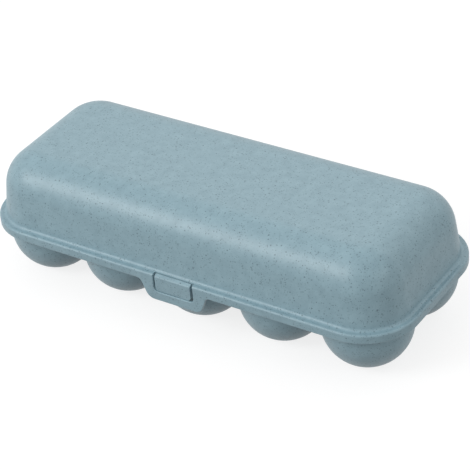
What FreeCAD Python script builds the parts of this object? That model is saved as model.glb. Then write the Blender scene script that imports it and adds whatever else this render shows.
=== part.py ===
import FreeCAD, Part
import math
import os
import re

import Sketcher

# Egg carrier for ten eggs: a moulded tray of round cups and a domed lid that clips shut
# at the front and swings on two clip hinges at the back. Millimetres, +Z up, front at -Y.

os.makedirs("parts", exist_ok=True)
doc = FreeCAD.newDocument("egg_carrier")

# Driving sizes, each one set once. Every other size and place is worked out from them.
SIZES = {
    # tray: deck and cups
    "cup_columns": 5,
    "cup_rows": 2,
    "cup_radius": 25.6,
    "cup_wall": 1.8,
    "column_gap": 0.8,
    "foot_radius": 8.0,
    "cup_upper_bend": 17.0,
    "cup_lower_bend": 46.0,
    "mouth_bevel": 0.6,
    "cup_margin": 5.5,
    "deck_top": 34.6,
    "deck_thickness": 1.8,
    "deck_bevel": 0.5,
    # lid: dome, flange and skirt
    "lid_wall": 1.8,
    "seat_gap": 0.2,
    "skirt_gap": 0.4,
    "skirt_drop": 3.3,
    "skirt_bevel": 0.4,
    "flange_width": 4.1,
    "flange_bevel": 0.7,
    "dome_height": 38.4,
    "dome_draft": 7.5,
    "dome_round": 22.0,
    "dome_foot_bevel": 1.0,
    "ceiling_bands": 3,
    "inner_foot_bevel": 1.5,
    # latch at the front
    "tongue_half_width": 21.8,
    "tongue_taper": 4.6,
    "tongue_drop": 11.5,
    "tongue_corner": 5.5,
    "tongue_shoulder": 3.0,
    "window_half_width": 13.0,
    "window_sill": 5.7,
    "window_corner": 2.5,
    "nub_side_gap": 1.1,
    "nub_sill_gap": 0.5,
    "nub_catch": 0.8,
    "nub_wall": 1.8,
    "crest_back_gap": 0.4,
    "crest_rise": 1.6,
    "crest_slope": 1.4,
    "web_cup_gap": 0.4,
    # hinges at the back
    "pin_radius": 2.0,
    "pin_reach": 3.75,
    "pin_drop": 2.8,
    "hook_width": 10.4,
    "hook_wall": 1.6,
    "hook_bore_gap": 0.1,
    "hook_side_gap": 0.3,
    "hook_lean": 60.0,
    "hook_heel": 150.0,
    "hook_toe": 250.0,
    "ear_thickness": 2.5,
    "ear_radius": 3.5,
    "ear_lean": 65.0,
    "ear_skirt_gap": 0.5,
    "ear_root": 9.0,
}

sheet = doc.addObject("Spreadsheet::Sheet", "Sizes")
for row, (alias, value) in enumerate(SIZES.items(), start=1):
    sheet.set("A%d" % row, alias)
    sheet.set("B%d" % row, str(value))
    sheet.setAlias("B%d" % row, alias)
doc.recompute()

# Places and sizes that follow from the sheet, as formulas that features are bound to
FOLLOWING = {
    "cup_pitch": "(2 * cup_radius + column_gap)",
    "row_pitch": "(2 * cup_radius - cup_wall)",
    "last_column": "((cup_columns - 1) * cup_pitch / 2)",
    "last_row": "((cup_rows - 1) * row_pitch / 2)",
    "rim_radius": "(cup_radius + cup_margin)",
    "rim_half_length": "(last_column + rim_radius)",
    "rim_half_width": "(last_row + rim_radius)",
    "deck_inset": "(lid_wall + skirt_gap)",
    "deck_underside": "(deck_top - deck_thickness)",
    "deck_edge_y": "(rim_half_width - deck_inset)",
    "cup_centre": "sqrt(cup_radius ^ 2 - foot_radius ^ 2)",
    "well_radius": "(cup_radius - cup_wall)",
    "well_floor_radius": "sqrt(well_radius ^ 2 - (cup_centre - cup_wall) ^ 2)",
    "flange_underside": "(deck_top + seat_gap)",
    "flange_top": "(flange_underside + lid_wall)",
    "skirt_bottom": "(deck_top - skirt_drop)",
    "lid_top": "(flange_top + dome_height)",
    "ceiling_radius": "(dome_round - lid_wall)",
    "round_height": "(lid_top - dome_round)",
    "round_inset": "(flange_width + (round_height - flange_top) * tan(dome_draft)"
                   " + dome_round / cos(dome_draft))",
    "tongue_bottom": "(skirt_bottom - tongue_drop)",
    "window_bottom": "(tongue_bottom + window_sill)",
    "window_depth": "(flange_width - dome_foot_bevel)",
    "nub_half_width": "(window_half_width - nub_side_gap)",
    "nub_bottom": "(window_bottom + nub_sill_gap)",
    "nub_face": "(rim_half_width - lid_wall + nub_catch)",
    "nub_back": "(deck_edge_y - nub_wall)",
    "crest_back": "(rim_half_width - window_depth + crest_back_gap)",
    "web_end": "(last_row + sqrt((cup_radius + web_cup_gap) ^ 2 - (nub_half_width - nub_wall) ^ 2))",
    "hinge_spacing": "((cup_columns - 2) * cup_pitch)",
    "pin_y": "(rim_half_width + pin_reach)",
    "pin_z": "(skirt_bottom - pin_drop)",
    "hook_bore": "(pin_radius + hook_bore_gap)",
    "hook_radius": "(hook_bore + hook_wall)",
    "ear_offset": "(hook_width / 2 + hook_side_gap)",
    "ear_neck": "(pin_drop - ear_skirt_gap)",
    "origin_shift": "((pin_y + hook_radius - rim_half_width) / 2)",
}


def formula(text):
    """Write a formula in terms of the sheet's cells."""
    for name in reversed(FOLLOWING):
        text = re.sub(r"\b%s\b" % name, FOLLOWING[name], text)
    for name in SIZES:
        text = re.sub(r"\b%s\b" % name, "Sizes." + name, text)
    return text


def size(text):
    """The value of a formula, in millimetres or degrees."""
    return float(sheet.evalExpression(formula(text)))


def bind(thing, prop, text):
    thing.setExpression(prop, formula(text))


def new_body(name):
    """A sub-part. The origin is on the table, under the middle of the closed carrier."""
    body = doc.addObject("PartDesign::Body", name)
    body.Label = name
    bind(body, "Placement.Base.y", "-origin_shift")
    return body


def own_plane(body, role):
    return next(item for item in body.Origin.OriginFeatures if item.Role == role)


def new_sketch(body, name, role, offset, sideways="0"):
    """A sketch moved off one of the body's own planes, and along it, by two formulas."""
    sketch = body.newObject("Sketcher::SketchObject", name)
    sketch.AttachmentSupport = (own_plane(body, role), [""])
    sketch.MapMode = "FlatFace"
    bind(sketch, "AttachmentOffset.Base.x", sideways)
    bind(sketch, "AttachmentOffset.Base.z", offset)
    doc.recompute()
    return sketch


def short_arc(start, end, radius, turn):
    """The short arc from start to end, anticlockwise for a turn of 1 and clockwise for -1."""
    chord = end - start
    rise = math.sqrt(max(radius ** 2 - (chord.Length / 2) ** 2, 0))
    across = FreeCAD.Vector(-chord.y, chord.x, 0).normalize()
    centre = (start + end) / 2 + across * rise * turn
    ends = (start, end) if turn > 0 else (end, start)
    first, last = [math.atan2(spot.y - centre.y, spot.x - centre.x) for spot in ends]
    return Part.ArcOfCircle(Part.Circle(centre, FreeCAD.Vector(0, 0, 1), radius), first, last)


def hold_point(sketch, item, end, x, y):
    """Hold a point of the sketch at two formulas."""
    for kind, text in (("DistanceX", x), ("DistanceY", y)):
        index = sketch.addConstraint(Sketcher.Constraint(kind, -1, 1, item, end, size(text)))
        bind(sketch, "Constraints[%d]" % index, text)


def hold_radius(sketch, item, text):
    index = sketch.addConstraint(Sketcher.Constraint("Radius", item, size(text)))
    bind(sketch, "Constraints[%d]" % index, text)


def draw(sketch, path):
    """Draw a closed outline through the points of a path. A step is (x, y) where a straight
    line leads to it, and (x, y, radius, turn) where an arc does."""
    items = []
    for before, step in zip([path[-1]] + path[:-1], path):
        start = FreeCAD.Vector(size(before[0]), size(before[1]), 0)
        end = FreeCAD.Vector(size(step[0]), size(step[1]), 0)
        if len(step) == 2:
            item = sketch.addGeometry(Part.LineSegment(start, end), False)
            start_point, end_point = 1, 2
        else:
            radius, turn = step[2:]
            item = sketch.addGeometry(short_arc(start, end, size(radius), turn), False)
            start_point, end_point = (1, 2) if turn > 0 else (2, 1)
            hold_radius(sketch, item, radius)
        hold_point(sketch, item, end_point, step[0], step[1])
        items.append((item, start_point, end_point))
    for (last, _, last_end), (item, start_point, _) in zip([items[-1]] + items[:-1], items):
        sketch.addConstraint(Sketcher.Constraint("Coincident", last, last_end, item, start_point))
    doc.recompute()


def draw_circle(sketch, x, y, radius):
    circle = Part.Circle(FreeCAD.Vector(size(x), size(y), 0), FreeCAD.Vector(0, 0, 1), size(radius))
    item = sketch.addGeometry(circle, False)
    hold_radius(sketch, item, radius)
    hold_point(sketch, item, 3, x, y)
    doc.recompute()


def rim_outline(inset):
    """The rim's outline, a rectangle with round corners, drawn in all round by an inset."""
    side = "(rim_half_length - (%s))" % inset
    front = "(rim_half_width - (%s))" % inset
    corner = "(rim_radius - (%s))" % inset
    corner_x = "(rim_half_length - rim_radius)"
    corner_y = "(rim_half_width - rim_radius)"
    return [
        ("-" + corner_x, "-" + front, corner, 1),
        (corner_x, "-" + front),
        (side, "-" + corner_y, corner, 1),
        (side, corner_y),
        (corner_x, front, corner, 1),
        ("-" + corner_x, front),
        ("-" + side, corner_y, corner, 1),
        ("-" + side, "-" + corner_y),
    ]


def extrude(body, kind, name, sketch, length, backwards=False, taper="0"):
    """A Pad or a Pocket of a sketch, straight or tapering by an angle."""
    feature = body.newObject("PartDesign::" + kind, name)
    feature.Profile = sketch
    feature.Reversed = backwards
    bind(feature, "Length", length)
    bind(feature, "TaperAngle", taper)
    doc.recompute()
    return feature


def turn_round(body, kind, name, sketch):
    """A Revolution or a Groove of a sketch about its own upright axis."""
    feature = body.newObject("PartDesign::" + kind, name)
    feature.Profile = sketch
    feature.ReferenceAxis = (sketch, ["V_Axis"])
    feature.Angle = 360.0
    doc.recompute()
    return feature


def repeat(body, name, feature, along, then=None):
    """Copies of a feature in a row, or in rows, each given as (axis, spacing, count)."""
    copies = body.newObject("PartDesign::LinearPattern", name)
    copies.Originals = [feature]
    for suffix, run in (("", along), ("2", then)):
        if run:
            axis, spacing, count = run
            setattr(copies, "Direction" + suffix, (own_plane(body, axis), [""]))
            setattr(copies, "Mode" + suffix, "Spacing")
            bind(copies, "Offset" + suffix, spacing)
            bind(copies, "Occurrences" + suffix, count)
            # each step takes the common spacing, which -1 stands for
            setattr(copies, "Spacings" + suffix, [-1.0] * (round(size(count)) - 1))
    body.Tip = copies
    doc.recompute()
    return copies


def dress(body, kind, name, feature, wanted, prop, text):
    """A Fillet or a Chamfer on the edges of the last feature that are wanted."""
    edges = enumerate(feature.Shape.Edges, start=1)
    names = ["Edge%d" % number for number, edge in edges if wanted(edge.BoundBox)]
    dressed = body.newObject("PartDesign::" + kind, name)
    dressed.Base = (feature, names)
    bind(dressed, prop, text)
    doc.recompute()
    return dressed


def same(first, second):
    return abs(first - second) < 1e-4


def level(box, text):
    """Whether an edge lies flat at a height."""
    return same(box.ZMin, size(text)) and same(box.ZMax, size(text))


def on_rim(box, inset):
    """Whether an edge follows the rim's outline, drawn in by an inset."""
    side = size("rim_half_length - (%s)" % inset)
    front = size("rim_half_width - (%s)" % inset)
    return (
        same(max(box.XMax, -box.XMin), side) and min(box.YMax, -box.YMin) > -front - 1e-4
        or same(max(box.YMax, -box.YMin), front) and min(box.XMax, -box.XMin) > -side - 1e-4
    )


# The tray's deck, a flat plate with a round mouth over each cup

base = new_body("base")

deck_outline = new_sketch(base, "deck_outline", "XY_Plane", "deck_underside")
draw(deck_outline, rim_outline("deck_inset"))
deck = extrude(base, "Pad", "deck", deck_outline, "deck_thickness")
deck_edge = dress(
    base, "Chamfer", "deck_edge", deck,
    lambda box: level(box, "deck_top"), "Size", "deck_bevel")

COLUMNS = ("X_Axis", "cup_pitch", "cup_columns")
ROWS = ("Y_Axis", "row_pitch", "cup_rows")

mouth_outline = new_sketch(base, "mouth_outline", "XY_Plane", "deck_top")
draw_circle(mouth_outline, "-last_column", "-last_row", "well_radius")
mouth = extrude(base, "Pocket", "mouth", mouth_outline, "deck_thickness")
mouths = repeat(base, "mouths", mouth, COLUMNS, ROWS)
mouth_bevels = dress(
    base, "Chamfer", "mouth_bevels", mouths,
    lambda box: level(box, "deck_top") and same(box.XLength, size("2 * well_radius")),
    "Size", "mouth_bevel")

# The catch at the front of the deck: a nub held by two webs, with a crest that slopes down to
# its face and stands up through the lid's flange

nub_outline = new_sketch(base, "nub_outline", "XZ_Plane", "nub_face")
draw(nub_outline, [
    ("-nub_half_width", "deck_top"),
    ("-nub_half_width", "nub_bottom + window_corner"),
    ("-(nub_half_width - window_corner)", "nub_bottom"),
    ("nub_half_width - window_corner", "nub_bottom"),
    ("nub_half_width", "nub_bottom + window_corner"),
    ("nub_half_width", "deck_top"),
])
nub = extrude(base, "Pad", "nub", nub_outline, "nub_face - nub_back", backwards=True)

crest_outline = new_sketch(base, "crest_outline", "YZ_Plane", "-nub_half_width")
draw(crest_outline, [
    ("-crest_back", "deck_top - nub_wall / 2"),
    ("-nub_face", "deck_top - nub_wall / 2"),
    ("-nub_face", "deck_top + crest_rise - crest_slope"),
    ("-crest_back", "deck_top + crest_rise"),
])
crest = extrude(base, "Pad", "crest", crest_outline, "2 * nub_half_width")

web_outline = new_sketch(base, "web_outline", "YZ_Plane", "-nub_half_width")
draw(web_outline, [
    ("-(nub_back + nub_wall / 2)", "nub_bottom + window_corner"),
    ("-web_end", "nub_bottom + window_corner"),
    ("-web_end", "deck_underside + deck_thickness / 2"),
    ("-(nub_back + nub_wall / 2)", "deck_underside + deck_thickness / 2"),
])
web = extrude(base, "Pad", "web", web_outline, "nub_wall")
webs = repeat(base, "webs", web, ("X_Axis", "2 * nub_half_width - nub_wall", "2"))

# The hinges at the back of the deck: two ears each, with a pin moulded between them

HINGES = ("X_Axis", "hinge_spacing", "2")

ear_outline = new_sketch(
    base, "ear_outline", "YZ_Plane", "-(hinge_spacing / 2 + ear_offset + ear_thickness)")
draw(ear_outline, [
    ("deck_edge_y - ear_root", "deck_underside + deck_thickness / 2"),
    ("deck_edge_y - ear_root", "deck_underside - ear_thickness / 2"),
    ("pin_y - ear_radius * cos(ear_lean)", "pin_z - ear_radius * sin(ear_lean)"),
    ("pin_y + ear_radius", "pin_z", "ear_radius", 1),
    ("pin_y - sqrt(ear_radius ^ 2 - ear_neck ^ 2)", "pin_z + ear_neck", "ear_radius", 1),
    ("deck_edge_y", "pin_z + ear_neck"),
    ("deck_edge_y", "deck_underside + deck_thickness / 2"),
])
ear = extrude(base, "Pad", "ear", ear_outline, "ear_thickness")
ears = repeat(base, "ears", ear, HINGES, ("X_Axis", "2 * ear_offset + ear_thickness", "2"))

pin_outline = new_sketch(
    base, "pin_outline", "YZ_Plane", "-(hinge_spacing / 2 + ear_offset + ear_thickness / 2)")
draw_circle(pin_outline, "pin_y", "pin_z", "pin_radius")
pin = extrude(base, "Pad", "pin", pin_outline, "2 * ear_offset + ear_thickness")
pins = repeat(base, "pins", pin, HINGES)

# The cups under the deck, a row at the front and a row at the back. Each cup is turned about
# its own axis, with a flat foot, and the rows share one wall where they meet in the middle.


def on_cup(radius, bend):
    """A bend in the cup's section, on a circle about the cup's centre."""
    return "(%s) * cos(%s)" % (radius, bend), "cup_centre - (%s) * sin(%s)" % (radius, bend)


def cup_row(name, row, at_back):
    """A row of cups, with its y as a formula, cut flat where it meets the other row."""
    body = new_body(name)
    profile = new_sketch(body, name + "_profile", "XZ_Plane", "-(%s)" % row, "-last_column")
    draw(profile, [
        ("0", "0"),
        ("foot_radius", "0"),
        on_cup("cup_radius", "cup_lower_bend"),
        on_cup("cup_radius", "cup_upper_bend"),
        ("cup_radius", "deck_underside"),
        ("well_radius", "deck_underside"),
        on_cup("well_radius", "cup_upper_bend"),
        on_cup("well_radius", "cup_lower_bend"),
        ("well_floor_radius", "cup_wall"),
        ("0", "cup_wall"),
    ])
    cup = turn_round(body, "Revolution", name + "_first", profile)
    repeat(body, name + "_row", cup, COLUMNS)
    middle = new_sketch(body, name + "_middle", "XZ_Plane", "0")
    draw(middle, [
        ("-(last_column + cup_radius)", "0"),
        ("last_column + cup_radius", "0"),
        ("last_column + cup_radius", "deck_underside"),
        ("-(last_column + cup_radius)", "deck_underside"),
    ])
    extrude(body, "Pocket", name + "_flat", middle, "cup_wall", backwards=at_back)
    return body


front_cups = cup_row("front_cups", "-last_row", False)
back_cups = cup_row("back_cups", "last_row", True)

# The lid is a wall of one thickness: a rim that laps over the deck, and a tapering dome.
# The cavity's ceiling bends in flat bands, and the dome's outside corners are rounded.

lid = new_body("lid")

rim_sketch = new_sketch(lid, "rim_sketch", "XY_Plane", "skirt_bottom")
draw(rim_sketch, rim_outline("0"))
rim = extrude(lid, "Pad", "rim", rim_sketch, "flange_top - skirt_bottom")
dome_sketch = new_sketch(lid, "dome_sketch", "XY_Plane", "flange_top")
draw(dome_sketch, rim_outline("flange_width"))
dome = extrude(lid, "Pad", "dome", dome_sketch, "dome_height", taper="-dome_draft")

skirt_cavity_sketch = new_sketch(lid, "skirt_cavity_sketch", "XY_Plane", "skirt_bottom")
draw(skirt_cavity_sketch, rim_outline("lid_wall"))
skirt_cavity = extrude(
    lid, "Pocket", "skirt_cavity", skirt_cavity_sketch, "flange_underside - skirt_bottom",
    backwards=True)

DOME_CAVITY_INSET = "(flange_width + lid_wall / cos(dome_draft) - lid_wall * tan(dome_draft))"
dome_cavity_sketch = new_sketch(lid, "dome_cavity_sketch", "XY_Plane", "flange_underside")
draw(dome_cavity_sketch, rim_outline(DOME_CAVITY_INSET))
dome_cavity = extrude(
    lid, "Pocket", "dome_cavity", dome_cavity_sketch,
    "round_height + ceiling_radius * sin(dome_draft) - flange_underside",
    backwards=True, taper="-dome_draft")

# Each band of the ceiling spans an equal part of the bend from the wall to the flat top
for band in range(SIZES["ceiling_bands"]):
    low, middle, high = [
        "(dome_draft + %s * (90 - dome_draft) / ceiling_bands)" % step
        for step in (band, band + 0.5, band + 1)
    ]
    name = "ceiling_band_%d" % (band + 1)
    band_sketch = new_sketch(
        lid, name + "_sketch", "XY_Plane", "round_height + ceiling_radius * sin(%s)" % low)
    draw(band_sketch, rim_outline("round_inset - ceiling_radius * cos(%s)" % low))
    ceiling_band = extrude(
        lid, "Pocket", name, band_sketch, "ceiling_radius * (sin(%s) - sin(%s))" % (high, low),
        backwards=True, taper="-" + middle)

inner_foot = dress(
    lid, "Chamfer", "inner_foot", ceiling_band,
    lambda box: level(box, "flange_underside") and on_rim(box, DOME_CAVITY_INSET),
    "Size", "inner_foot_bevel")
top_round = dress(
    lid, "Fillet", "top_round", inner_foot, lambda box: level(box, "lid_top"), "Radius", "dome_round")
dome_foot = dress(
    lid, "Chamfer", "dome_foot", top_round,
    lambda box: level(box, "flange_top") and on_rim(box, "flange_width"), "Size", "dome_foot_bevel")

# The tongue hangs from the front of the skirt, flush with it

tongue_sketch = new_sketch(lid, "tongue_sketch", "XZ_Plane", "rim_half_width")
draw(tongue_sketch, [
    ("-tongue_half_width", "skirt_bottom + lid_wall"),
    ("-tongue_half_width", "skirt_bottom"),
    ("-(tongue_half_width - tongue_taper)", "tongue_bottom"),
    ("tongue_half_width - tongue_taper", "tongue_bottom"),
    ("tongue_half_width", "skirt_bottom"),
    ("tongue_half_width", "skirt_bottom + lid_wall"),
])
tongue = extrude(lid, "Pad", "tongue", tongue_sketch, "lid_wall", backwards=True)


def across_wall(box, x, text):
    """Whether an edge runs straight through the lid's wall at a place on the tongue."""
    return (
        same(box.YLength, size("lid_wall")) and same(box.YMin, -size("rim_half_width"))
        and same(max(box.XMax, -box.XMin), size(x)) and level(box, text)
    )


tongue_corners = dress(
    lid, "Fillet", "tongue_corners", tongue,
    lambda box: across_wall(box, "tongue_half_width - tongue_taper", "tongue_bottom"),
    "Radius", "tongue_corner")
tongue_shoulders = dress(
    lid, "Fillet", "tongue_shoulders", tongue_corners,
    lambda box: across_wall(box, "tongue_half_width", "skirt_bottom"),
    "Radius", "tongue_shoulder")
lower_edge = dress(
    lid, "Chamfer", "lower_edge", tongue_shoulders,
    lambda box: level(box, "skirt_bottom") and on_rim(box, "0"),
    "Size", "skirt_bevel")
flange_edge = dress(
    lid, "Chamfer", "flange_edge", lower_edge,
    lambda box: level(box, "flange_top") and on_rim(box, "0"),
    "Size", "flange_bevel")

# The window in the tongue, open at the top through the skirt and the flange, back to the dome

window_sketch = new_sketch(lid, "window_sketch", "XZ_Plane", "rim_half_width")
draw(window_sketch, [
    ("-window_half_width", "flange_top"),
    ("-window_half_width", "window_bottom + window_corner"),
    ("-(window_half_width - window_corner)", "window_bottom"),
    ("window_half_width - window_corner", "window_bottom"),
    ("window_half_width", "window_bottom + window_corner"),
    ("window_half_width", "flange_top"),
])
window = extrude(lid, "Pocket", "window", window_sketch, "window_depth")

# The clip hooks at the back: each grips a pin from behind, and roots on the skirt


def around_pin(radius, angle):
    """A point on a circle about the pin's axis, as formulas along Y and Z."""
    return (
        "pin_y + (%s) * cos(%s)" % (radius, angle),
        "pin_z + (%s) * sin(%s)" % (radius, angle),
    )


hook_outline = new_sketch(lid, "hook_outline", "YZ_Plane", "-(hinge_spacing / 2 + hook_width / 2)")
draw(hook_outline, [
    around_pin("hook_radius", "hook_heel"),
    around_pin("hook_bore", "hook_heel"),
    around_pin("hook_bore", "(hook_heel + hook_toe - 360) / 2") + ("hook_bore", -1),
    around_pin("hook_bore", "hook_toe") + ("hook_bore", -1),
    around_pin("hook_radius", "hook_toe"),
    around_pin("hook_radius", "hook_lean") + ("hook_radius", 1),
    ("rim_half_width", "pin_z + (hook_radius + cos(hook_lean) * pin_reach) / sin(hook_lean)"),
    ("rim_half_width - lid_wall / 2", "pin_z + (hook_radius + cos(hook_lean) * pin_reach) / sin(hook_lean)"),
    ("rim_half_width - lid_wall / 2", "skirt_bottom"),
])
hook = extrude(lid, "Pad", "hook", hook_outline, "hook_width")
hooks = repeat(lid, "hooks", hook, HINGES)

doc.recompute()
for thing in doc.Objects:
    if {"Invalid", "Error"} & set(thing.State):
        raise RuntimeError("%s did not build: %s" % (thing.Label, thing.State))
for body, solids in ((base, 1), (front_cups, 5), (back_cups, 5), (lid, 1)):
    if body.Shape.isNull() or not body.Shape.isValid() or len(body.Shape.Solids) != solids:
        raise RuntimeError("%s is not sound: %d solids" % (body.Label, len(body.Shape.Solids)))
    body.Shape.exportStep("parts/%s.step" % body.Label)
    print("%s: %.1f cm3" % (body.Label, body.Shape.Volume / 1000))
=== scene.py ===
import math

import bmesh
import bpy
from mathutils import Matrix, Vector


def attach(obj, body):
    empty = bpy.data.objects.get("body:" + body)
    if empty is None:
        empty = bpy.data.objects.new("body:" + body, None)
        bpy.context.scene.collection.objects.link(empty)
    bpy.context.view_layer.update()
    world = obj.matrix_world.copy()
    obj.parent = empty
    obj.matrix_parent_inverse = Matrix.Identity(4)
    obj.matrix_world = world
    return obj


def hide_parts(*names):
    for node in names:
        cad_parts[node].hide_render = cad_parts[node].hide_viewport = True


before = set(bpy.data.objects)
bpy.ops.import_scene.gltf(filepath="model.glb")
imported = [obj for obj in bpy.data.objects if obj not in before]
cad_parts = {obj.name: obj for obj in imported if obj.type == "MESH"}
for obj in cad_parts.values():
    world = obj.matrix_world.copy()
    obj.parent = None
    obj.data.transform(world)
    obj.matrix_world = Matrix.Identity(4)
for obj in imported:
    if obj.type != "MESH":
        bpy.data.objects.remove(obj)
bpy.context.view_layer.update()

# The tray's deck: a flat plate moulded in grey-blue plastic, which the lid's skirt laps over.
# Its outline is a long rectangle with round ends to the corners, drawn in 2.2 mm from the rim.

BACK_SHIFT = -3.725
CORNER_X = 104.0
CORNER_Y = 24.7
RIM_RADIUS = 31.1
DECK_INSET = 2.2
DECK_TOP = 34.6
DECK_UNDERSIDE = 32.8
CORNER_STEPS = 28


def soften_corners(corners):
    """Points of an open line whose corners (x, y, radius) are turned into arcs."""
    line = []
    for index, (x, y, radius) in enumerate(corners):
        here = Vector((x, y))
        if radius == 0:
            line.append(here)
            continue
        before = (Vector(corners[index - 1][:2]) - here).normalized()
        after = (Vector(corners[index + 1][:2]) - here).normalized()
        half = before.angle(after) / 2
        centre = here + (before + after).normalized() * radius / math.sin(half)
        start = here + before * radius / math.tan(half) - centre
        turn = math.pi - 2 * half
        if start.y * before.x - start.x * before.y < 0:
            turn = -turn
        steps = max(3, round(abs(turn) * 3.4 * math.sqrt(radius)))
        for step in range(steps + 1):
            line.append(centre + Matrix.Rotation(turn * step / steps, 2) @ start)
    return line


def around_rim(inset, front=()):
    """Points (x, y) round the rim's outline, drawn in by an inset, with more x along the front."""
    points = []
    corners = ((-1, -1, 180), (1, -1, 270), (1, 1, 0), (-1, 1, 90))
    for side, end, start in corners:
        if side == 1 and end == -1:
            points += [(x, BACK_SHIFT - CORNER_Y - RIM_RADIUS + inset) for x in front]
        for step in range(CORNER_STEPS + 1):
            angle = math.radians(start + 90 * step / CORNER_STEPS)
            points.append((
                side * CORNER_X + (RIM_RADIUS - inset) * math.cos(angle),
                BACK_SHIFT + end * CORNER_Y + (RIM_RADIUS - inset) * math.sin(angle),
            ))
    return points


def mould(name, loops):
    """A closed solid through loops of points in millimetres, with its first and last loop filled."""
    form = bmesh.new()
    rows = [[form.verts.new(Vector(point) / 1000) for point in loop] for loop in loops]
    for row, following in zip(rows, rows[1:]):
        for index in range(len(row)):
            beside = (index + 1) % len(row)
            form.faces.new((row[index], row[beside], following[beside], following[index]))
    form.faces.new(rows[0])
    form.faces.new(rows[-1])
    bmesh.ops.recalc_face_normals(form, faces=form.faces)
    mesh = bpy.data.meshes.new(name)
    form.to_mesh(mesh)
    form.free()
    piece = bpy.data.objects.new(name, mesh)
    bpy.context.scene.collection.objects.link(piece)
    return piece


deck_edge = soften_corners([
    (6, DECK_UNDERSIDE, 0),
    (DECK_INSET, DECK_UNDERSIDE, 0.3),
    (DECK_INSET, DECK_TOP, 0.5),
    (6, DECK_TOP, 0),
])
tray = mould("tray", [[(x, y, z) for x, y in around_rim(inset)] for inset, z in deck_edge])

# The ten cups: thin round bowls with flat feet, moulded in one with the deck, five to a row.
# Each holds an egg on its end, and the two rows share a wall where they meet.

CUP_PITCH = 52.0
ROW_PITCH = 49.4
CUP_RADIUS = 25.6
CUP_WALL = 1.8
FOOT_RADIUS = 8.0
CUP_CENTRE = math.sqrt(CUP_RADIUS ** 2 - FOOT_RADIUS ** 2)
CUP_SIDES = 96
CUP_STEPS = 22


def turned(name, profile, places):
    """Solids turned from a profile (radius, height) about upright axes at places (x, y)."""
    pieces = []
    for x, y in places:
        loops = []
        for radius, height in profile:
            angles = [math.radians(360 / CUP_SIDES * step) for step in range(CUP_SIDES)]
            loops.append([(x + radius * math.cos(angle), y + radius * math.sin(angle), height)
                          for angle in angles])
        pieces.append(mould(name, loops))
    whole = bmesh.new()
    for piece in pieces:
        whole.from_mesh(piece.data)
        bpy.data.meshes.remove(piece.data)
    mesh = bpy.data.meshes.new(name)
    whole.to_mesh(mesh)
    whole.free()
    whole = bpy.data.objects.new(name, mesh)
    bpy.context.scene.collection.objects.link(whole)
    return whole


def work(piece, operation, tool):
    """Join a tool's solid to a piece, or cut it out, and put the tool away."""
    step = piece.modifiers.new(operation.lower(), "BOOLEAN")
    step.operation = operation
    step.object = tool
    step.solver = "EXACT"
    depsgraph = bpy.context.evaluated_depsgraph_get()
    mesh = bpy.data.meshes.new_from_object(piece.evaluated_get(depsgraph))
    piece.modifiers.clear()
    bpy.data.meshes.remove(tool.data)
    piece.data = mesh


def bowl(radius, floor, rim):
    """The profile of a cup's outside or inside, from its flat floor up to a height."""
    lowest = math.asin((CUP_CENTRE - floor) / radius)
    angles = [lowest * (1 - step / CUP_STEPS) for step in range(CUP_STEPS + 1)]
    wall = [(radius * math.cos(angle), CUP_CENTRE - radius * math.sin(angle)) for angle in angles]
    edge = wall[0][0]
    return [(edge - 0.6, floor), (edge + 0.1, floor + 0.1)] + wall[1:] + [(radius, rim)]


columns = [CUP_PITCH * step for step in range(-2, 3)]
rows = [[(x, y) for x in columns] for y in (BACK_SHIFT - ROW_PITCH / 2, BACK_SHIFT + ROW_PITCH / 2)]
outside = bowl(CUP_RADIUS, 0, DECK_TOP - 0.9)
inside = bowl(CUP_RADIUS - CUP_WALL, CUP_WALL, DECK_TOP + 2)
for row in rows:
    work(tray, "UNION", turned("cup", outside, row))
for row in rows:
    work(tray, "DIFFERENCE", turned("well", inside, row))

# The catch's nub: a thick lip on the deck's front edge that fills the tongue's window, nearer its
# left end. Its crest stands up through the cut in the flange and slopes down to its face. Two
# webs tie it to the deck, and the left one also closes the view through the window's left gap.

RIM_FRONT = BACK_SHIFT - CORNER_Y - RIM_RADIUS
NUB_LEFT = -12.3
NUB_RIGHT = 10.9
NUB_BOTTOM = 25.65
NUB_FACE = RIM_FRONT + 0.7
NUB_BACK = RIM_FRONT + 4.0
CREST_BACK = RIM_FRONT + 2.9
CREST_TOP = 36.2
CREST_FALL = 1.3
WEB_WALL = 1.8
WEB_LEFT = -15.6
WEB_BOTTOM = 27.0
WEB_END = -51.5


def slab(name, outline, place, start, end):
    """A slab between two offsets along an axis, from an outline that place turns into a point."""
    return mould(name, [[place(a, b, offset) for a, b in outline] for offset in (start, end)])


nub_section = soften_corners([
    (NUB_BACK, NUB_BOTTOM, 0),
    (NUB_FACE, NUB_BOTTOM, 0.3),
    (NUB_FACE, CREST_TOP - CREST_FALL, 0.9),
    (CREST_BACK, CREST_TOP, 0.2),
    (CREST_BACK, DECK_TOP - 0.2, 0),
    (NUB_BACK, DECK_TOP - 0.2, 0),
])
nub_outline = soften_corners([
    (NUB_LEFT, CREST_TOP + 1, 0),
    (NUB_LEFT, NUB_BOTTOM, 2.2),
    (NUB_RIGHT, NUB_BOTTOM, 2.2),
    (NUB_RIGHT, CREST_TOP + 1, 0),
])
nub = slab("nub", nub_section, lambda y, z, x: (x, y, z), NUB_LEFT - 1, NUB_RIGHT + 1)
ends = slab("nub_ends", nub_outline, lambda x, z, y: (x, y, z), NUB_FACE - 1, NUB_BACK + 1)
work(nub, "INTERSECT", ends)
work(tray, "UNION", nub)
web_outline = [
    (NUB_BACK - 1.2, WEB_BOTTOM),
    (WEB_END, WEB_BOTTOM),
    (WEB_END, DECK_TOP - 0.9),
    (NUB_BACK - 1.2, DECK_TOP - 0.9),
]
for start in (WEB_LEFT, NUB_RIGHT - WEB_WALL):
    web = slab("web", web_outline, lambda y, z, x: (x, y, z), start, start + WEB_WALL)
    work(tray, "UNION", web)

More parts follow.
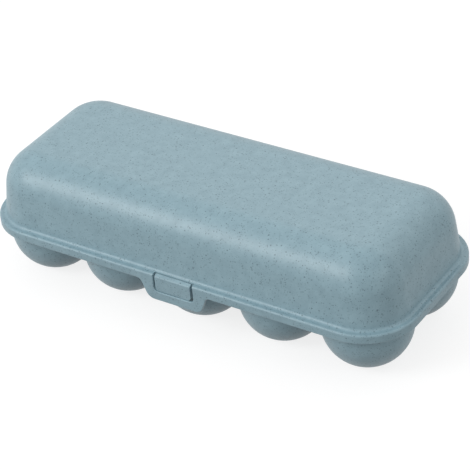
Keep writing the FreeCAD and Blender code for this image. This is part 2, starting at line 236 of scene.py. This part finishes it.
# The hinge pins at the tray's back: a round pin between two ears for each of the lid's hooks,
# moulded in one with the deck.

PIN_Y = 55.825
PIN_Z = 28.5
HINGES = (-78.0, 78.0)
PIN_RADIUS = 2.0
EAR_RADIUS = 3.5
EAR_INSIDE = 5.5
EAR_OUTSIDE = 8.0


def about_pin(radius, angles):
    """Points (y, z) on a circle about the pins' axis, at angles in degrees."""
    return [(PIN_Y + radius * math.cos(math.radians(angle)),
             PIN_Z + radius * math.sin(math.radians(angle))) for angle in angles]


ear_foot = [(49.875, 30.8), (49.875, 33.7), (40.875, 33.7), (40.875, 31.55)]
ear_outline = about_pin(EAR_RADIUS, range(-115, 139, 11)) + ear_foot
pin_outline = about_pin(PIN_RADIUS, range(0, 360, 15))
for hinge_x in HINGES:
    for side in (-1, 1):
        near, far = sorted((hinge_x + side * EAR_INSIDE, hinge_x + side * EAR_OUTSIDE))
        ear = slab("ear", ear_outline, lambda y, z, x: (x, y, z), near, far)
        work(tray, "UNION", ear)
    pin = slab("pin", pin_outline, lambda y, z, x: (x, y, z), hinge_x - 7, hinge_x + 7)
    work(tray, "UNION", pin)

# The plastic: polypropylene filled with plant fibre, in a satin grey-blue. The fibre shows as
# fine dark flecks, a few of them drawn out into short hairs, on a faintly clouded ground.


def soft_edges(piece, width):
    """Small rounds on the moulded edges that the outlines leave sharp."""
    for face in piece.data.polygons:
        face.use_smooth = True
    rounds = piece.modifiers.new("moulded edges", "BEVEL")
    rounds.width = width / 1000
    rounds.segments = 3
    rounds.limit_method = "ANGLE"
    rounds.angle_limit = math.radians(40)
    rounds.use_clamp_overlap = True
    even = piece.modifiers.new("even shading", "WEIGHTED_NORMAL")
    even.keep_sharp = True


def put(tree, kind, inputs, **settings):
    """A new shader node's outputs. Each input is a value or another node's output."""
    node = tree.nodes.new("ShaderNode" + kind)
    for name, value in settings.items():
        setattr(node, name, value)
    for name, value in inputs.items():
        if isinstance(value, bpy.types.NodeSocket):
            tree.links.new(value, node.inputs[name])
        else:
            node.inputs[name].default_value = value
    return node.outputs


def flecks(tree, where, cell, turn, stretch, radius, share):
    """Flecks as a mask: one in each cell (in mm) of a share of them, drawn out along one axis."""
    across = 1000 / cell
    turned = put(tree, "Mapping", {
        "Vector": where, "Rotation": turn, "Scale": (across, across, across / stretch)})["Vector"]
    cells = put(tree, "TexVoronoi", {"Vector": turned, "Scale": 1.0})
    chance = put(tree, "SeparateColor", {"Color": cells["Color"]})
    reach = put(tree, "MapRange", {
        "Value": chance["Red"], "From Min": 1 - share, "From Max": 1.0,
        "To Min": 0.0, "To Max": radius / cell})["Result"]
    inside = put(tree, "Math", {0: reach, 1: cells["Distance"]}, operation="SUBTRACT")["Value"]
    solid = put(tree, "MapRange", {
        "Value": inside, "From Min": 0.0, "From Max": 0.35 * radius / cell})["Result"]
    depth = put(tree, "MapRange", {"Value": chance["Green"], "To Min": 0.35, "To Max": 1.0})["Result"]
    return put(tree, "Math", {0: solid, 1: depth}, operation="MULTIPLY")["Value"]


PALE_GROUND = (0.283, 0.424, 0.483, 1)
DEEP_GROUND = (0.231, 0.355, 0.411, 1)
FIBRE = (0.085, 0.14, 0.17, 1)

plastic = bpy.data.materials.new("fibre_plastic")
plastic.use_nodes = True
tree = plastic.node_tree
body = put(tree, "TexCoord", {})["Object"]
grain = put(tree, "TexNoise", {"Vector": body, "Scale": 1400.0, "Detail": 1.0})
waver = put(tree, "VectorMath", {
    0: grain["Color"], 1: (0.0005, 0.0005, 0.0005), 2: body}, operation="MULTIPLY_ADD")["Vector"]
dark = flecks(tree, waver, 1.25, (0.3, 0.2, 0.5), 1.0, 0.56, 0.75)
for cell, turn, stretch, radius, share in (
        (0.95, (0.9, 0.4, 0.1), 1.0, 0.38, 0.8),
        (1.5, (1.2, 0.3, 0.8), 3.5, 0.28, 0.5),
        (1.5, (0.2, 1.1, 2.1), 3.5, 0.28, 0.5)):
    more = flecks(tree, waver, cell, turn, stretch, radius, share)
    dark = put(tree, "Math", {0: dark, 1: more}, operation="MAXIMUM")["Value"]
cloud = put(tree, "TexNoise", {
    "Vector": body, "Scale": 160.0, "Detail": 4.0, "Roughness": 0.65})["Fac"]
tone = put(tree, "MapRange", {
    "Value": cloud, "From Min": 0.3, "From Max": 0.7, "To Min": 0.0, "To Max": 1.0})["Result"]
ground = put(tree, "MixRGB", {
    "Fac": tone, "Color1": DEEP_GROUND, "Color2": PALE_GROUND})["Color"]
veil = put(tree, "Math", {0: dark, 1: 0.85}, operation="MULTIPLY")["Value"]
speckled = put(tree, "MixRGB", {"Fac": veil, "Color1": ground, "Color2": FIBRE})["Color"]
satin = put(tree, "MapRange", {"Value": grain["Fac"], "To Min": 0.36, "To Max": 0.46})["Result"]
skin = put(tree, "Bump", {"Height": grain["Fac"], "Strength": 0.25, "Distance": 0.00008})["Normal"]
shader = tree.nodes["Principled BSDF"]
tree.links.new(speckled, shader.inputs["Base Color"])
tree.links.new(satin, shader.inputs["Roughness"])
tree.links.new(skin, shader.inputs["Normal"])
shader.inputs["Specular IOR Level"].default_value = 0.55

soft_edges(tray, 0.3)
tray.data.materials.append(plastic)
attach(tray, "base")
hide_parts("base", "front_cups", "back_cups")

# The lid: one moulded wall 1.8 mm thick, with a skirt that laps over the deck, a narrow flange,
# and a dome whose walls lean in and turn into the flat top with a large round.

LID_WALL = 1.8
SKIRT_BOTTOM = 31.3
FLANGE_TOP = 36.6
FLANGE_WIDTH = 4.1
LID_TOP = 75.0
DRAFT = math.radians(7.5)
DOME_ROUND = 22.0
ROUND_INSET = 28.45

wall_foot = FLANGE_WIDTH + LID_WALL / math.cos(DRAFT) - LID_WALL * math.tan(DRAFT)
dome_lean = (LID_TOP - FLANGE_TOP) * math.tan(DRAFT)
section = soften_corners([
    (ROUND_INSET, LID_TOP, 0),
    (FLANGE_WIDTH + dome_lean, LID_TOP, DOME_ROUND),
    (FLANGE_WIDTH, FLANGE_TOP, 1.9),
    (0, FLANGE_TOP, 1.25),
    (0, SKIRT_BOTTOM, 0.5),
    (LID_WALL, SKIRT_BOTTOM, 0.4),
    (LID_WALL, FLANGE_TOP - LID_WALL, 0.4),
    (wall_foot, FLANGE_TOP - LID_WALL, 1.5),
    (wall_foot + dome_lean, LID_TOP - LID_WALL, DOME_ROUND - LID_WALL),
    (ROUND_INSET, LID_TOP - LID_WALL, 0),
])

# The tongue: the skirt's front hangs down in the middle as a flat tongue with round corners.
# Its outline is the skirt's lower edge, and the wall keeps its thickness and its rounded edge.

TONGUE_TOP = 21.8
TONGUE_FOOT = 17.2
TONGUE_BOTTOM = SKIRT_BOTTOM - 11.5


def headings(line):
    """The direction of an open line at each of its points."""
    last = len(line) - 1
    return [(line[min(index + 1, last)] - line[max(index - 1, 0)]).normalized()
            for index in range(len(line))]


tongue = soften_corners([
    (-40, SKIRT_BOTTOM, 0),
    (-TONGUE_TOP, SKIRT_BOTTOM, 3.0),
    (-TONGUE_FOOT, TONGUE_BOTTOM, 5.5),
    (TONGUE_FOOT, TONGUE_BOTTOM, 5.5),
    (TONGUE_TOP, SKIRT_BOTTOM, 3.0),
    (40, SKIRT_BOTTOM, 0),
])
first = CORNER_STEPS + 1
lid_loops = []
for inset, height in section:
    loop = [(x, y, height) for x, y in around_rim(inset, [spot.x for spot in tongue])]
    above = height - SKIRT_BOTTOM
    if above < 1:
        for index, (spot, along) in enumerate(zip(tongue, headings(tongue)), start=first):
            loop[index] = (spot.x - along.y * above, loop[index][1], spot.y + along.x * above)
    lid_loops.append(loop)
lid = mould("lid_shell", lid_loops)

# The window in the tongue, which the nub fills: it is open at the top, through the skirt and
# the front of the flange, so that only the bar below it has to ride over the nub. Its edge is
# round on the outside, where the opening widens by 0.55 mm over the first 0.6 mm of its depth.

WINDOW_HALF_WIDTH = 13
WINDOW_BOTTOM = 25.5
WINDOW_DEPTH = 3.1

window_outline = soften_corners([
    (-WINDOW_HALF_WIDTH, 40, 0),
    (-WINDOW_HALF_WIDTH, WINDOW_BOTTOM, 2.5),
    (WINDOW_HALF_WIDTH, WINDOW_BOTTOM, 2.5),
    (WINDOW_HALF_WIDTH, 40, 0),
])
window_edge = (
    (-1.0, 0.55), (0, 0.55), (0.06, 0.33), (0.18, 0.16), (0.36, 0.05), (0.6, 0), (WINDOW_DEPTH, 0))
window_loops = [
    [(spot.x + along.y * spread, RIM_FRONT + depth, spot.y - along.x * spread)
     for spot, along in zip(window_outline, headings(window_outline))]
    for depth, spread in window_edge
]
work(lid, "DIFFERENCE", mould("window", window_loops))

# The two hooks at the lid's back: each grips a pin from behind and above, and is rooted on the
# skirt in one with the lid.

HOOK_BORE = 2.1
HOOK_OUTSIDE = 3.7
HOOK_HALF_WIDTH = 5.2

hook_root = [
    (52.075, 34.94), (51.175, 34.94), (51.175, SKIRT_BOTTOM), (PIN_Y - 3.204, PIN_Z + 1.85)]
hook_bore = about_pin(HOOK_BORE, range(150, -111, -13))
hook_outline = hook_bore + about_pin(HOOK_OUTSIDE, range(-110, 61, 10)) + hook_root
for hinge_x in HINGES:
    start, end = hinge_x - HOOK_HALF_WIDTH, hinge_x + HOOK_HALF_WIDTH
    hook = slab("hook", hook_outline, lambda y, z, x: (x, y, z), start, end)
    work(lid, "UNION", hook)

soft_edges(lid, 0.25)
lid.data.materials.append(plastic)
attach(lid, "lid")
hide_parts("lid")

# The studio: a white floor that runs out of sight and keeps a faint shadow, and a white room.
# Both look white to the camera and in gloss, and throw back less light than they seem to.

floor_mesh = bpy.data.meshes.new("floor")
floor_mesh.from_pydata(
    [(-6, -6, 0), (6, -6, 0), (6, 6, 0), (-6, 6, 0)], [], [(0, 1, 2, 3)])
floor = bpy.data.objects.new("floor", floor_mesh)
bpy.context.scene.collection.objects.link(floor)


def seen(tree):
    """1 on rays from the camera and on rays through gloss or glass, and 0 on other rays."""
    path = put(tree, "LightPath", {})
    gloss = put(tree, "Math", {
        0: path["Is Glossy Ray"], 1: path["Is Transmission Ray"]}, operation="MAXIMUM")["Value"]
    return put(tree, "Math", {0: path["Is Camera Ray"], 1: gloss}, operation="MAXIMUM")["Value"]


paper = bpy.data.materials.new("white_paper")
paper.use_nodes = True
tree = paper.node_tree
tree.nodes.clear()
matt = put(tree, "BsdfDiffuse", {"Color": (0.24, 0.24, 0.24, 1)})["BSDF"]
glow = put(tree, "Emission", {"Strength": 0.8})["Emission"]
faint = put(tree, "BsdfDiffuse", {"Color": (0.27, 0.27, 0.27, 1)})["BSDF"]
white = put(tree, "AddShader", {0: faint, 1: glow})["Shader"]
whole = put(tree, "MixShader", {0: seen(tree), 1: matt, 2: white})["Shader"]
put(tree, "OutputMaterial", {"Surface": whole})
floor_mesh.materials.append(paper)

world = bpy.data.worlds.new("studio")
bpy.context.scene.world = world
world.use_nodes = True
tree = world.node_tree
level = put(tree, "MapRange", {"Value": seen(tree), "To Min": 0.6, "To Max": 1.0})["Result"]
room = tree.nodes["Background"]
room.inputs["Color"].default_value = (1, 1, 1, 1)
tree.links.new(level, room.inputs["Strength"])


def lamp(name, place, size, power):
    """A soft lamp that faces the middle of the carrier."""
    light = bpy.data.lights.new(name, "AREA")
    light.shape = "RECTANGLE"
    light.size, light.size_y = size
    light.energy = power
    item = bpy.data.objects.new(name, light)
    bpy.context.scene.collection.objects.link(item)
    item.location = place
    item.rotation_mode = "QUATERNION"
    item.rotation_quaternion = (Vector((0, 0, 0.04)) - Vector(place)).to_track_quat("-Z", "Y")


lamp("key", (-0.971, -1.342, 1.161), (0.85, 0.85), 16.0)
lamp("over", (-0.2, -0.6, 1.94), (1.2, 1.2), 1.6)
lamp("back", (-0.05, 1.35, 1.25), (2.6, 0.9), 4.6)
lamp("side", (1.78, -0.198, 0.93), (0.8, 0.8), 2.2)

camera_data = bpy.data.cameras.new("camera")
camera_data.lens = 159.36
camera_data.sensor_width = 36
camera_data.clip_start = 0.05
camera = bpy.data.objects.new("camera", camera_data)
bpy.context.scene.collection.objects.link(camera)
camera.location = (0.5706, -0.7835, 0.6906)
camera.rotation_mode = "QUATERNION"
camera.rotation_quaternion = Matrix((
    (0.8384, 0.5387, -0.0825), (-0.2484, 0.5125, 0.8220), (0.4851, -0.6687, 0.5635),
)).transposed().to_quaternion()
bpy.context.scene.camera = camera
bpy.context.scene.view_settings.view_transform = "Standard"
